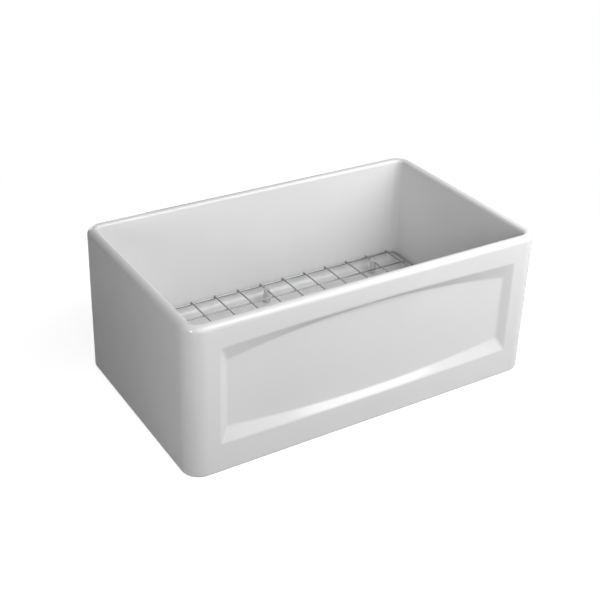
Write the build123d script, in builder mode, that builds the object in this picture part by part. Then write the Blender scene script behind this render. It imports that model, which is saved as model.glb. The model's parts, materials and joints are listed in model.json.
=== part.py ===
"""Farmhouse apron front sink: a fireclay basin with a wire rack and a basket strainer.

Millimetres. X runs across the width, Y from front to rear, Z up. The origin is the centre of the
underside, on the surface that the sink stands on, and the apron faces -Y.
"""

import os
from math import pi, radians, sqrt, tan

from build123d import *

# --- Sink casting ----------------------------------------------------------------------------
sink_width = 762.0
sink_depth = 457.0
sink_height = 305.0
corner_radius = 36.0        # plan radius of the outer corners
rim_thickness = 20.0        # wall thickness at the top
rim_outer_round = 12.0
rim_inner_round = 4.0
rim_corner_radius = 16.0    # plan radius of the basin corners at the top
base_round = 4.0            # lower outer edge
wall_draft = 2.0            # degrees that the basin walls lean outwards
floor_height = 62.0         # basin floor above the underside
floor_corner_radius = 20.0  # plan radius of the basin corners at the floor
floor_round = 18.0          # sweep from floor to walls
slab_thickness = 22.0       # fireclay under the basin floor
skirt_thickness = 22.0      # wall around the hollow underside
skirt_corner_radius = 18.0
skirt_round = 8.0

# --- Apron panel -----------------------------------------------------------------------------
panel_side_margin = 61.0    # plain apron beside the panel
panel_low = 60.5            # lower edge at the ends, above the underside
panel_low_sag = 4.0         # how far its middle drops
panel_top_margin = 49.5     # upper edge at the ends, below the rim
panel_high_rise = 6.0       # how far its middle rises
panel_recess = 9.0          # depth of the sunk field inside the bevels
side_bevel = 18.0           # widths of the bevels, at the panel's corners
lower_bevel = 29.0
upper_bevel = 33.5
field_low_sag = 19.0
field_high_rise = 28.5
panel_mitre_round = 5.0
panel_field_round = 2.5
panel_edge_round = 4.0

# --- Drain opening ---------------------------------------------------------------------------
dish_radius = 140.0         # the floor falls to the drain inside this radius
dish_drop = 3.0
seat_gap = 2.0              # around the flange, in its recess
seat_drop = 3.2             # the flange's seat below the dish's inner edge
seat_round = 1.5
drain_hole_gap = 1.7        # around the strainer's barrel

# --- Wire rack -------------------------------------------------------------------------------
rack_wall_gap = 3.0         # from the basin walls to the outer wire
rim_wire_diameter = 4.4
rim_wire_bend = 12.0        # bend radius of the outer wire's corners
wire_diameter = 3.2         # the wires across it
wire_end_round = 0.8
wire_pitch = 55.0           # from cross wire to cross wire, on each side of the middle one
long_wire_gaps = 7          # equal gaps between the front and rear outer wires
cross_wire_overhang = 2.2   # past the outer wire's centre line
drain_ring_radius = 53.6    # centre line of the ring over the drain
rack_height = 27.0          # basin floor to the cross wires' centre line
foot_radius = 8.5
foot_top_radius = 6.6
foot_above_wire = 3.5       # rubber above the wire's centre line
foot_round = 1.5
end_feet_inset = 1          # the end feet stand on this cross wire, counted from the last one
rest_gap = 0.2              # feet above the floor, basket above its seat
grip_gap = 0.05             # foot around its wire

# --- Basket strainer, fixed parts ------------------------------------------------------------
flange_radius = 56.0
flange_thickness = 1.5
flange_crown = 0.8          # the flange rises this far inside its edge
flange_shoulder = 3.0       # width of the rounded shoulder into the cup
cup_bore_radius = 40.0
cup_wall = 2.8
cup_depth = 27.0            # flange top to the top of the conical seat
cone_height = 8.0
outlet_bore_radius = 20.5
outlet_radius = 24.0
cone_wall = 4.3             # strainer metal below the cone, above the outlet
outlet_floor_gap = 3.0      # outlet end above the underside
seal_thickness = 1.2
seal_width = 9.0
gasket_thickness = 3.5
gasket_overhang = 2.0       # past the nut
washer_thickness = 1.2
nut_height = 9.0
nut_radius = 55.0           # of the nut's flange and the fibre washer
nut_lugs = 6
nut_lug_reach = 6.0         # past the flange
nut_lug_width = 14.0
thread_gap = 0.05
crossbar_thickness = 2.0
crossbar_width = 5.0
crossbar_hub_radius = 8.0
crossbar_hole_radius = 5.0
crossbar_below_cone = 3.0

# --- Basket ----------------------------------------------------------------------------------
stopper_thickness = 4.0
stopper_low_radius = 30.0
stopper_top_radius = 33.0
basket_rim_gap = 1.5        # from the basket's rim to the cup
basket_wall_gap = 5.0       # from the basket's side to the cup
basket_wall = 1.0
basket_rim_below_flange = 2.0
basket_hole_radius = 1.6
basket_hole_pitch = 7.0
basket_wall_holes = 30
basket_wall_rows = 2
basket_hub_radius = 8.0     # plain metal around the post
post_radius = 2.5
post_below_crossbar = 3.0
knob_radius = 9.0
knob_height = 10.0
knob_neck_radius = 4.5
knob_neck_height = 3.0
knob_dome = 4.0             # height of the knob's rounded top
knob_bore = 5.5             # how far the post goes into the knob
knob_above_flange = 14.0    # knob's top above the flange's top
basket_nut_flats = 9.0
basket_nut_height = 2.6
clip_gap = 0.6              # in the hole of the crossbar
clip_taper = 1.1
clip_height = 5.0

same_length = 0.01          # two lengths this close are taken as equal

# --- Derived places --------------------------------------------------------------------------
half_depth = sink_depth / 2
panel_half_width = sink_width / 2 - panel_side_margin
panel_high = sink_height - panel_top_margin
field_half_width = panel_half_width - side_bevel
field_low = panel_low + lower_bevel
field_high = panel_high - upper_bevel
basin_height = sink_height - floor_height
lean = tan(radians(wall_draft))
rim_half_width = sink_width / 2 - rim_thickness
rim_half_depth = sink_depth / 2 - rim_thickness
floor_half_width = rim_half_width - basin_height * lean
floor_half_depth = rim_half_depth - basin_height * lean
slab_underside = floor_height - slab_thickness
dish_floor = floor_height - dish_drop
seat_height = dish_floor - seat_drop
seat_radius = flange_radius + seat_gap
cup_radius = cup_bore_radius + cup_wall
drain_hole_radius = cup_radius + drain_hole_gap

cross_wire_level = floor_height + rack_height
lower_wires_top = cross_wire_level - wire_diameter / 2
rim_wire_level = lower_wires_top - rim_wire_diameter / 2
long_wire_level = lower_wires_top - wire_diameter / 2
rack_inset = rack_wall_gap + rim_wire_diameter / 2
rack_half_width = floor_half_width + (rim_wire_level - floor_height) * lean - rack_inset
rack_half_depth = floor_half_depth + (rim_wire_level - floor_height) * lean - rack_inset
long_wire_pitch = 2 * rack_half_depth / long_wire_gaps
cross_wires_each_side = int(rack_half_width // wire_pitch)

flange_underside = seat_height + seal_thickness
flange_top = flange_underside + flange_thickness + flange_crown
cone_top = flange_top - cup_depth
cone_low = cone_top - cone_height
outlet_end = outlet_floor_gap
outlet_top = cone_low - cone_wall
gasket_top = slab_underside
washer_top = gasket_top - gasket_thickness
nut_top = washer_top - washer_thickness
nut_underside = nut_top - nut_height
crossbar_top = cone_low - crossbar_below_cone
crossbar_underside = crossbar_top - crossbar_thickness
gasket_radius = nut_radius + gasket_overhang
nut_lug_radius = nut_radius + nut_lug_reach

cone_slope = cone_height / (cup_bore_radius - outlet_bore_radius)
stopper_underside = cone_low + (stopper_low_radius - outlet_bore_radius) * cone_slope + rest_gap
stopper_top = stopper_underside + stopper_thickness
basket_rim = flange_top - basket_rim_below_flange
basket_rim_radius = cup_bore_radius - basket_rim_gap
basket_radius = cup_bore_radius - basket_wall_gap
clip_radius = crossbar_hole_radius - clip_gap
clip_tip_radius = clip_radius - clip_taper
knob_top = flange_top + knob_above_flange
knob_underside = knob_top - knob_height
post_end = crossbar_underside - post_below_crossbar

os.makedirs("parts", exist_ok=True)


def save(piece, name):
    """Labels a finished piece and writes it to its own file."""
    piece.label = name
    export_step(piece, f"parts/{name}.step")


# --- Sink casting ----------------------------------------------------------------------------
def panel_outline(inset, half_width, low, low_sag, high, high_rise):
    """One outline of the apron panel, inset behind the front face, with bowed long edges."""
    with BuildSketch(Plane.XZ.offset(half_depth - inset)) as outline:
        with BuildLine():
            ThreePointArc((-half_width, low), (0, low - low_sag), (half_width, low))
            Line((half_width, low), (half_width, high))
            ThreePointArc((half_width, high), (0, high + high_rise), (-half_width, high))
            Line((-half_width, high), (-half_width, low))
        make_face()
    return outline.sketch


with BuildPart() as panel_cutter:
    add(panel_outline(0, panel_half_width, panel_low, panel_low_sag, panel_high, panel_high_rise))
    add(
        panel_outline(
            panel_recess, field_half_width, field_low, field_low_sag, field_high, field_high_rise
        )
    )
    loft(ruled=True)
    slanting = panel_cutter.edges().filter_by(
        lambda edge: abs(edge.bounding_box().size.Y - panel_recess) < same_length
    )
    fillet(slanting, panel_mitre_round)
    field_edges = panel_cutter.faces().sort_by(Axis.Y)[-1].outer_wire().edges()
    fillet(field_edges, panel_field_round)

with BuildPart() as sink_body:
    with BuildSketch():
        RectangleRounded(sink_width, sink_depth, corner_radius)
    extrude(amount=sink_height)
    fillet(sink_body.faces().sort_by(Axis.Z)[-1].edges(), rim_outer_round)
    fillet(sink_body.faces().sort_by(Axis.Z)[0].edges(), base_round)
    with BuildSketch(Plane.XY.offset(floor_height)):
        RectangleRounded(2 * floor_half_width, 2 * floor_half_depth, floor_corner_radius)
    with BuildSketch(Plane.XY.offset(sink_height)):
        RectangleRounded(2 * rim_half_width, 2 * rim_half_depth, rim_corner_radius)
    loft(ruled=True, mode=Mode.SUBTRACT)
    basin_floor = sink_body.faces(Select.LAST).sort_by(Axis.Z)[0]
    fillet(basin_floor.edges(), floor_round)
    rim_top = sink_body.faces().sort_by(Axis.Z)[-1]
    fillet(rim_top.inner_wires()[0].edges(), rim_inner_round)
    with BuildSketch():
        RectangleRounded(
            sink_width - 2 * skirt_thickness,
            sink_depth - 2 * skirt_thickness,
            skirt_corner_radius,
        )
    extrude(amount=slab_underside, mode=Mode.SUBTRACT)
    hollow_top = sink_body.faces(Select.LAST).sort_by(Axis.Z)[-1]
    fillet(hollow_top.edges(), skirt_round)
    with Locations((0, 0, dish_floor)):
        Cone(
            bottom_radius=seat_radius,
            top_radius=dish_radius,
            height=dish_drop,
            align=(Align.CENTER, Align.CENTER, Align.MIN),
            mode=Mode.SUBTRACT,
        )
    with Locations((0, 0, seat_height)):
        Cylinder(
            radius=seat_radius,
            height=seat_drop,
            align=(Align.CENTER, Align.CENTER, Align.MIN),
            mode=Mode.SUBTRACT,
        )
    seat_edge = sink_body.edges(Select.LAST).filter_by(GeomType.CIRCLE).sort_by(Axis.Z)[-1]
    fillet(seat_edge, seat_round)
    with Locations((0, 0, 0)):
        Cylinder(
            radius=drain_hole_radius,
            height=seat_height,
            align=(Align.CENTER, Align.CENTER, Align.MIN),
            mode=Mode.SUBTRACT,
        )
    add(panel_cutter.part, mode=Mode.SUBTRACT)
    apron_face = sink_body.faces().sort_by(Axis.Y)[0]
    fillet(apron_face.inner_wires()[0].edges(), panel_edge_round)
save(sink_body.part, "sink_body")


# --- Wire rack -------------------------------------------------------------------------------
def save_straight_wire(name, plane, length):
    """A straight round wire with softened ends, starting on the plane and running along its normal."""
    with BuildPart() as wire:
        with BuildSketch(plane):
            Circle(wire_diameter / 2)
        extrude(amount=length)
        fillet(wire.edges().filter_by(GeomType.CIRCLE), wire_end_round)
    save(wire.part, name)


def save_cross_wire(name, x, y_start, y_end):
    """A wire from front to rear, on the upper level."""
    start = Plane(origin=(x, y_start, cross_wire_level), x_dir=(1, 0, 0), z_dir=(0, 1, 0))
    save_straight_wire(name, start, y_end - y_start)


def save_long_wire(name, y, x_start, x_end):
    """A wire across the width, on the lower level."""
    start = Plane(origin=(x_start, y, long_wire_level), x_dir=(0, 1, 0), z_dir=(1, 0, 0))
    save_straight_wire(name, start, x_end - x_start)


with BuildPart() as rack_rim_wire:
    with BuildLine(Plane.XY.offset(rim_wire_level)) as rim_path:
        FilletPolyline(
            (-rack_half_width, -rack_half_depth),
            (rack_half_width, -rack_half_depth),
            (rack_half_width, rack_half_depth),
            (-rack_half_width, rack_half_depth),
            radius=rim_wire_bend,
            close=True,
        )
    with BuildSketch(rim_path.line ^ 0):
        Circle(rim_wire_diameter / 2)
    sweep()
save(rack_rim_wire.part, "rack_rim_wire")

with BuildPart() as rack_drain_ring:
    with Locations((0, 0, long_wire_level)):
        Torus(major_radius=drain_ring_radius, minor_radius=wire_diameter / 2)
save(rack_drain_ring.part, "rack_drain_ring")

cross_wire_reach = rack_half_depth + cross_wire_overhang
for step in range(-cross_wires_each_side, cross_wires_each_side + 1):
    x = step * wire_pitch
    number = step + cross_wires_each_side + 1
    if abs(x) < drain_ring_radius:
        ring_y = sqrt(drain_ring_radius**2 - x**2)
        save_cross_wire(f"rack_cross_wire_{number:02d}_front", x, -cross_wire_reach, -ring_y)
        save_cross_wire(f"rack_cross_wire_{number:02d}_rear", x, ring_y, cross_wire_reach)
    else:
        save_cross_wire(f"rack_cross_wire_{number:02d}", x, -cross_wire_reach, cross_wire_reach)

long_wire_reach = rack_half_width - rim_wire_diameter / 2
for gap in range(1, long_wire_gaps):
    y = -rack_half_depth + gap * long_wire_pitch
    ring_outside = drain_ring_radius + wire_diameter / 2
    if abs(y) < ring_outside:
        ring_x = sqrt(ring_outside**2 - y**2)
        save_long_wire(f"rack_long_wire_{gap}_left", y, -long_wire_reach, -ring_x)
        save_long_wire(f"rack_long_wire_{gap}_right", y, ring_x, long_wire_reach)
    else:
        save_long_wire(f"rack_long_wire_{gap}", y, -long_wire_reach, long_wire_reach)

foot_underside = floor_height + rest_gap
foot_top = cross_wire_level + foot_above_wire
foot_row = rack_half_depth - long_wire_pitch / 2
end_feet_x = (cross_wires_each_side - end_feet_inset) * wire_pitch
foot_places = {"left": -end_feet_x, "middle": 0.0, "right": end_feet_x}
for side, foot_x in foot_places.items():
    for row, foot_y in (("front", -foot_row), ("rear", foot_row)):
        with BuildPart() as foot:
            with Locations((foot_x, foot_y, foot_underside)):
                Cone(
                    bottom_radius=foot_radius,
                    top_radius=foot_top_radius,
                    height=foot_top - foot_underside,
                    align=(Align.CENTER, Align.CENTER, Align.MIN),
                )
            fillet(foot.edges().filter_by(GeomType.CIRCLE), foot_round)
            wire_start = Plane(
                origin=(foot_x, foot_y - foot_radius, cross_wire_level),
                x_dir=(1, 0, 0),
                z_dir=(0, 1, 0),
            )
            with BuildSketch(wire_start):
                Circle(wire_diameter / 2 + grip_gap)
            extrude(amount=2 * foot_radius, mode=Mode.SUBTRACT)
        save(foot.part, f"rack_foot_{side}_{row}")


# --- Basket strainer, fixed parts ------------------------------------------------------------
def save_turned(name, points):
    """A solid of revolution about the Z axis. The points are radius and height."""
    with BuildPart() as turned:
        with BuildSketch(Plane.XZ):
            with BuildLine():
                Polyline(*points, close=True)
            make_face()
        revolve(axis=Axis.Z)
    save(turned.part, name)


def save_washer(name, inner_radius, outer_radius, underside, thickness):
    """A flat ring around the Z axis."""
    with BuildPart() as ring:
        with BuildSketch(Plane.XY.offset(underside)):
            Circle(outer_radius)
            Circle(inner_radius, mode=Mode.SUBTRACT)
        extrude(amount=thickness)
    save(ring.part, name)


shoulder_radius = cup_bore_radius + flange_shoulder
with BuildPart() as strainer_cup:
    with BuildSketch(Plane.XZ):
        with BuildLine():
            Polyline(
                (cup_bore_radius, flange_top - flange_shoulder),
                (cup_bore_radius, cone_top),
                (outlet_bore_radius, cone_low),
                (outlet_bore_radius, outlet_end),
                (outlet_radius, outlet_end),
                (outlet_radius, outlet_top),
                (cup_radius, nut_underside),
                (cup_radius, flange_underside),
                (flange_radius, flange_underside),
                (flange_radius, flange_underside + flange_thickness),
                (shoulder_radius, flange_top),
            )
            CenterArc(
                (shoulder_radius, flange_top - flange_shoulder), flange_shoulder, 90, 90
            )
        make_face()
    revolve(axis=Axis.Z)
save(strainer_cup.part, "strainer_cup")

with BuildPart() as strainer_crossbar:
    with BuildSketch(Plane.XY.offset(crossbar_underside)):
        Rectangle(2 * outlet_bore_radius, crossbar_width)
        Rectangle(crossbar_width, 2 * outlet_bore_radius)
        Circle(crossbar_hub_radius)
        Circle(crossbar_hole_radius, mode=Mode.SUBTRACT)
        Circle(outlet_bore_radius, mode=Mode.INTERSECT)
    extrude(amount=crossbar_thickness)
save(strainer_crossbar.part, "strainer_crossbar")

save_washer(
    "flange_seal", flange_radius - seal_width, flange_radius, seat_height, seal_thickness
)
barrel_clear_radius = cup_radius + thread_gap
save_washer(
    "under_gasket",
    barrel_clear_radius,
    gasket_radius,
    washer_top,
    gasket_thickness,
)
save_washer(
    "friction_washer",
    barrel_clear_radius,
    nut_radius,
    nut_top,
    washer_thickness,
)

with BuildPart() as lock_nut:
    with BuildSketch(Plane.XY.offset(nut_underside)):
        Circle(nut_radius)
        with PolarLocations(0, nut_lugs):
            with Locations((nut_lug_radius / 2, 0)):
                Rectangle(nut_lug_radius, nut_lug_width)
        Circle(barrel_clear_radius, mode=Mode.SUBTRACT)
    extrude(amount=nut_height)
save(lock_nut.part, "lock_nut")

# --- Basket ----------------------------------------------------------------------------------
save_turned(
    "basket_stopper",
    [
        (post_radius, stopper_underside),
        (stopper_low_radius, stopper_underside),
        (stopper_top_radius, stopper_top),
        (post_radius, stopper_top),
    ],
)

basket_bottom = stopper_top + basket_wall
with BuildPart() as basket_cup:
    with BuildSketch(Plane.XZ):
        with BuildLine():
            Polyline(
                (post_radius, stopper_top),
                (basket_radius, stopper_top),
                (basket_radius, basket_rim - basket_wall),
                (basket_rim_radius, basket_rim - basket_wall),
                (basket_rim_radius, basket_rim),
                (basket_radius - basket_wall, basket_rim),
                (basket_radius - basket_wall, basket_bottom),
                (post_radius, basket_bottom),
                close=True,
            )
        make_face()
    revolve(axis=Axis.Z)
    hole_rows = basket_rim - basket_bottom - 2 * basket_hole_radius
    for row in range(1, basket_wall_rows + 1):
        row_height = basket_bottom + basket_hole_radius + row * hole_rows / (basket_wall_rows + 1)
        with Locations((0, 0, row_height)):
            with PolarLocations(basket_radius, basket_wall_holes):
                Cylinder(
                    radius=basket_hole_radius,
                    height=4 * basket_wall,
                    rotation=(0, 90, 0),
                    mode=Mode.SUBTRACT,
                )
    ring_radius = basket_hub_radius + basket_hole_pitch / 2
    while ring_radius < basket_radius - basket_hole_pitch / 2:
        holes = int(2 * pi * ring_radius / basket_hole_pitch)
        with Locations((0, 0, basket_bottom)):
            with PolarLocations(ring_radius, holes):
                Cylinder(radius=basket_hole_radius, height=4 * basket_wall, mode=Mode.SUBTRACT)
        ring_radius += basket_hole_pitch
save(basket_cup.part, "basket_cup")

knob_bore_top = knob_underside + knob_bore
knob_dome_radius = (knob_radius**2 + knob_dome**2) / (2 * knob_dome)
with BuildPart() as basket_post:
    with Locations((0, 0, post_end)):
        Cylinder(
            radius=post_radius,
            height=knob_bore_top - post_end,
            align=(Align.CENTER, Align.CENTER, Align.MIN),
        )
save(basket_post.part, "basket_post")

with BuildPart() as basket_knob:
    with BuildSketch(Plane.XZ):
        with BuildLine():
            Polyline(
                (0, knob_bore_top),
                (post_radius, knob_bore_top),
                (post_radius, knob_underside),
                (knob_neck_radius, knob_underside),
                (knob_neck_radius, knob_underside + knob_neck_height),
                (knob_radius, knob_top - knob_dome),
            )
            RadiusArc((knob_radius, knob_top - knob_dome), (0, knob_top), -knob_dome_radius)
            Line((0, knob_top), (0, knob_bore_top))
        make_face()
    revolve(axis=Axis.Z)
save(basket_knob.part, "basket_knob")

with BuildPart() as basket_nut:
    with BuildSketch(Plane.XY.offset(stopper_underside - basket_nut_height)):
        RegularPolygon(basket_nut_flats / 2, 6, major_radius=False)
        Circle(post_radius, mode=Mode.SUBTRACT)
    extrude(amount=basket_nut_height)
save(basket_nut.part, "basket_nut")

save_turned(
    "basket_clip",
    [
        (post_radius, post_end),
        (clip_tip_radius, post_end),
        (clip_radius, post_end + clip_height / 2),
        (clip_tip_radius, post_end + clip_height),
        (post_radius, post_end + clip_height),
    ],
)
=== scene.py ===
"""Looks for the farmhouse apron front sink: glazed fireclay, the wire rack and the basket strainer.

Lengths are written in millimetres, as on a drawing, and multiplied by MM where Blender takes them;
only the studio's are in metres. X runs across the width, Y from the apron to the rear, Z up from
the surface that the sink stands on.
"""

import json
from math import atan2, cos, pi, radians, sin, sqrt, tan

import bmesh
import bpy
import numpy as np
from mathutils import Matrix, Vector, noise


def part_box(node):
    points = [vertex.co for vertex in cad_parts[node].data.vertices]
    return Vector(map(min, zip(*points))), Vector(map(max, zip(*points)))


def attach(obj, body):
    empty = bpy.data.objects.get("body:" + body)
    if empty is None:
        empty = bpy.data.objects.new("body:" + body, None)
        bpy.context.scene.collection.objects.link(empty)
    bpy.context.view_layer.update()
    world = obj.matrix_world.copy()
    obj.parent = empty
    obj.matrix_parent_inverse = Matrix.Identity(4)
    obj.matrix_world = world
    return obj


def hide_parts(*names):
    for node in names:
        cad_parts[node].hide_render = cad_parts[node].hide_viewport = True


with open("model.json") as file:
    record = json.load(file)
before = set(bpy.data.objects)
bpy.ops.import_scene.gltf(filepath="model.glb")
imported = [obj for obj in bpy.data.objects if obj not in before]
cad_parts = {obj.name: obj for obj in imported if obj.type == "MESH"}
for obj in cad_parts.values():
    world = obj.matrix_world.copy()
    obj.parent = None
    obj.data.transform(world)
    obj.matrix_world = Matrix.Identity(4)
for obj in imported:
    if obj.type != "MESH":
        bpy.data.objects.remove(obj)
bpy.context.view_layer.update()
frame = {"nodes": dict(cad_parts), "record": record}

MM = 0.001
nodes = frame["nodes"]
slot_of = {part["node"]: part["material_slot"] for part in frame["record"]["subparts"]}

# --- Small helpers ---------------------------------------------------------------------------
crease_angle = radians(40)      # faces that meet more sharply than this keep a crisp edge
first_colour = 6                # the Mix node's colour sockets, whose names others share
second_colour = 7
mixed_colour = 2


def srgb(hex_code):
    """A #RRGGBB colour as linear red, green, blue and full alpha."""
    levels = [int(hex_code[i:i + 2], 16) / 255 for i in (1, 3, 5)]
    linear = [c / 12.92 if c <= 0.04045 else ((c + 0.055) / 1.055) ** 2.4 for c in levels]
    return (*linear, 1.0)


def add_node(tree, kind, inputs=None, **settings):
    """Adds a node. An input is set to a value, or linked to a given output or a node's first one."""
    node = tree.nodes.new(kind)
    for name, value in settings.items():
        setattr(node, name, value)
    for key, value in (inputs or {}).items():
        if isinstance(value, bpy.types.Node):
            value = value.outputs[0]
        if isinstance(value, bpy.types.NodeSocket):
            tree.links.new(value, node.inputs[key])
        else:
            node.inputs[key].default_value = value
    return node


def angles(start, end, steps):
    """Angles from one to the other, both included."""
    return [start + (end - start) * step / steps for step in range(steps + 1)]


def mesh_object(name, vertices, faces, material):
    """A smooth-shaded mesh object at the origin, with its faces turned outwards."""
    mesh = bpy.data.meshes.new(name)
    mesh.from_pydata(vertices, [], faces)
    shell = bmesh.new()
    shell.from_mesh(mesh)
    bmesh.ops.recalc_face_normals(shell, faces=shell.faces)
    shell.to_mesh(mesh)
    shell.free()
    mesh.shade_smooth()
    mesh.set_sharp_from_angle(angle=crease_angle)
    mesh.materials.append(material)
    piece = bpy.data.objects.new(name, mesh)
    bpy.context.scene.collection.objects.link(piece)
    return piece


def quads_between(loops, steps):
    """Faces between closed loops of points: each loop joins the next, and the last joins the first."""
    return [
        (i * steps + j, i * steps + (j + 1) % steps,
         (i + 1) % loops * steps + (j + 1) % steps, (i + 1) % loops * steps + j)
        for i in range(loops) for j in range(steps)
    ]


# --- Camera ----------------------------------------------------------------------------------
# It stands to the left of the apron and above it, as the photograph's did.
image_pixels = 600
sensor_width = 36.0
camera_azimuth = radians(-32.30)
camera_elevation = radians(27.33)
camera_roll = radians(1.80)
camera_distance = 2451.0
camera_focus_pixels = 1122.3          # focal length in pixels of the 600-pixel frame
camera_target = Vector((103.2, 208.6, 127.0))
optical_centre_x = 298.7              # pixels of the photograph
optical_centre_y = 255.6
camera_reach = 100.0                  # metres


def make_camera():
    back = Vector((
        sin(camera_azimuth) * cos(camera_elevation),
        -cos(camera_azimuth) * cos(camera_elevation),
        sin(camera_elevation),
    ))
    level_right = back.cross(Vector((0, 0, 1))).normalized() * -1
    level_up = back.cross(level_right)
    right = level_right * cos(camera_roll) + level_up * sin(camera_roll)
    up = level_up * cos(camera_roll) - level_right * sin(camera_roll)
    camera = bpy.data.objects.new("camera", bpy.data.cameras.new("camera"))
    bpy.context.scene.collection.objects.link(camera)
    turn = Matrix((right, up, back)).transposed().to_4x4()
    stand = Matrix.Translation((camera_target + back * camera_distance) * MM)
    camera.matrix_world = stand @ turn
    camera.data.sensor_width = sensor_width
    camera.data.lens = camera_focus_pixels / image_pixels * sensor_width
    camera.data.shift_x = (image_pixels / 2 - optical_centre_x) / image_pixels
    camera.data.shift_y = (optical_centre_y - image_pixels / 2) / image_pixels
    camera.data.clip_end = camera_reach
    bpy.context.scene.camera = camera


# --- Materials -------------------------------------------------------------------------------
full_swing = {"low": 0.3, "high": 0.7}      # noise seldom leaves this range


def new_material(name):
    """A material with an empty tree, and the piece's own coordinates for its patterns."""
    material = bpy.data.materials.new(name)
    material.use_nodes = True
    tree = material.node_tree
    tree.nodes.clear()
    return material, tree, add_node(tree, "ShaderNodeTexCoord").outputs["Object"]


def marks(tree, place, size, detail=2.0, low=0.0, high=1.0):
    """A pattern of soft marks, a size in millimetres across, that runs from 0 to 1.

    It is 0 wherever the noise that it is made from is under low, and 1 wherever that is over high.
    """
    cloud = add_node(
        tree, "ShaderNodeTexNoise", {"Vector": place, "Scale": 1.0 / (size * MM), "Detail": detail}
    )
    return add_node(tree, "ShaderNodeMapRange", {"Value": cloud, "From Min": low, "From Max": high})


def complete(material, colours, roughness, relief, constants):
    """Gives a material its shader.

    Colours and roughness are each a pattern, what it gives where it is 0, and what where it is 1.
    The relief is a pattern and the depth in millimetres to which it is pressed in.
    """
    tree = material.node_tree
    colour_sockets = ("Factor", first_colour, second_colour)
    colour = add_node(tree, "ShaderNodeMix", dict(zip(colour_sockets, colours)), data_type="RGBA")
    rough = add_node(tree, "ShaderNodeMapRange", dict(zip(("Value", "To Min", "To Max"), roughness)))
    pattern, depth = relief
    pressed = add_node(
        tree, "ShaderNodeBump", {"Height": pattern, "Strength": 1.0, "Distance": depth * MM}
    )
    shader = add_node(tree, "ShaderNodeBsdfPrincipled", {
        "Base Color": colour.outputs[mixed_colour], "Roughness": rough, "Normal": pressed, **constants,
    })
    add_node(tree, "ShaderNodeOutputMaterial", {"Surface": shader})
    return material


glaze_stops = 1.8         # the clay is bare up to here above the foot
glaze_wander = 1.6        # or less, by up to this much, because the glaze's edge wanders
glaze_fade = 1.0          # the height over which the glaze thins out
inside_margin = 1.0       # the hollow is taken this much larger, so that its own faces lie in it
grain_height = 6.0        # of the bare clay, as a multiple of the glaze's orange peel


def glazed_fireclay():
    """Fireclay, slip-cast, under an opaque white glaze that is fired with it.

    The eye sees a wet-looking neutral white with a faint orange peel. The foot and the hollow
    underside are left bare, so there it sees matt, warm, speckled biscuit.
    """
    material, tree, place = new_material("glazed_fireclay")
    axes = add_node(tree, "ShaderNodeSeparateXYZ", {0: place}).outputs
    edge = marks(tree, place, 18.0, **full_swing)
    above_foot = add_node(
        tree, "ShaderNodeMath", {0: edge, 1: glaze_wander * MM, 2: axes["Z"]},
        operation="MULTIPLY_ADD",
    )
    foot = add_node(tree, "ShaderNodeMapRange", {
        "Value": above_foot, "From Min": glaze_stops * MM, "From Max": (glaze_stops + glaze_fade) * MM,
        "To Min": 1.0, "To Max": 0.0,
    })
    hollow = 1.0
    for axis, reach in (
        ("X", half_width - skirt_thickness), ("Y", half_depth - skirt_thickness), ("Z", slab_underside)
    ):
        away = add_node(tree, "ShaderNodeMath", {0: axes[axis]}, operation="ABSOLUTE")
        within = add_node(
            tree, "ShaderNodeMath", {0: away, 1: (reach + inside_margin) * MM}, operation="LESS_THAN"
        )
        hollow = add_node(tree, "ShaderNodeMath", {0: hollow, 1: within}, operation="MULTIPLY")
    bare = add_node(tree, "ShaderNodeMath", {0: foot, 1: hollow}, operation="MAXIMUM")

    thick_and_thin = marks(tree, place, 140.0, 1.0)
    speckles = marks(tree, place, 1.6, 4.0, 0.58, 0.72)
    glaze, biscuit = [
        add_node(
            tree, "ShaderNodeMix",
            {"Factor": pattern, first_colour: srgb(first), second_colour: srgb(second)},
            data_type="RGBA",
        ).outputs[mixed_colour]
        for pattern, first, second in (
            (thick_and_thin, "#ECECEC", "#E7E7E7"), (speckles, "#DCD2C3", "#B9A88F")
        )
    ]
    smears = add_node(tree, "ShaderNodeMapRange", {
        "Value": marks(tree, place, 60.0, **full_swing), "To Min": 0.10, "To Max": 0.16,
    })
    orange_peel = marks(tree, place, 5.0, 1.0)
    grain = add_node(
        tree, "ShaderNodeMath", {0: marks(tree, place, 0.9, 3.0), 1: bare}, operation="MULTIPLY"
    )
    height_field = add_node(
        tree, "ShaderNodeMath", {0: grain, 1: grain_height, 2: orange_peel}, operation="MULTIPLY_ADD"
    )
    return complete(
        material, colours=(bare, glaze, biscuit), roughness=(bare, smears, 0.85),
        relief=(height_field, 0.02), constants={"IOR": 1.52},
    )


def drawn_wire():
    """Stainless wire, drawn through a die, welded into a rack and electropolished.

    The eye sees a soft grey line with fine streaks along it, a little duller in patches.
    """
    material, tree, place = new_material("drawn_stainless_wire")
    section = add_node(tree, "ShaderNodeAttribute", attribute_name="section").outputs["Vector"]
    # The real streaks are about 0.05 mm wide; they are drawn 0.4 mm wide so that they show.
    streaks = marks(tree, section, 0.4, 1.0)
    patches = marks(tree, place, 12.0, **full_swing)
    return complete(
        material, colours=(streaks, srgb("#9A9B9D"), srgb("#ACADAE")),
        roughness=(patches, 0.34, 0.46), relief=(streaks, 0.004), constants={"Metallic": 1.0},
    )


def moulded_silicone():
    """Silicone rubber, compression-moulded: milky, half clear, with the mould's fine matt texture."""
    material, tree, place = new_material("moulded_silicone_rubber")
    cloud = marks(tree, place, 4.0)
    patches = marks(tree, place, 2.5, **full_swing)
    texture = marks(tree, place, 0.6, 1.0)
    return complete(
        material, colours=(cloud, srgb("#F0F0F0"), srgb("#E6E6E6")),
        roughness=(patches, 0.32, 0.48), relief=(texture, 0.03),
        constants={"IOR": 1.41, "Transmission Weight": 0.45},
    )


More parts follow.
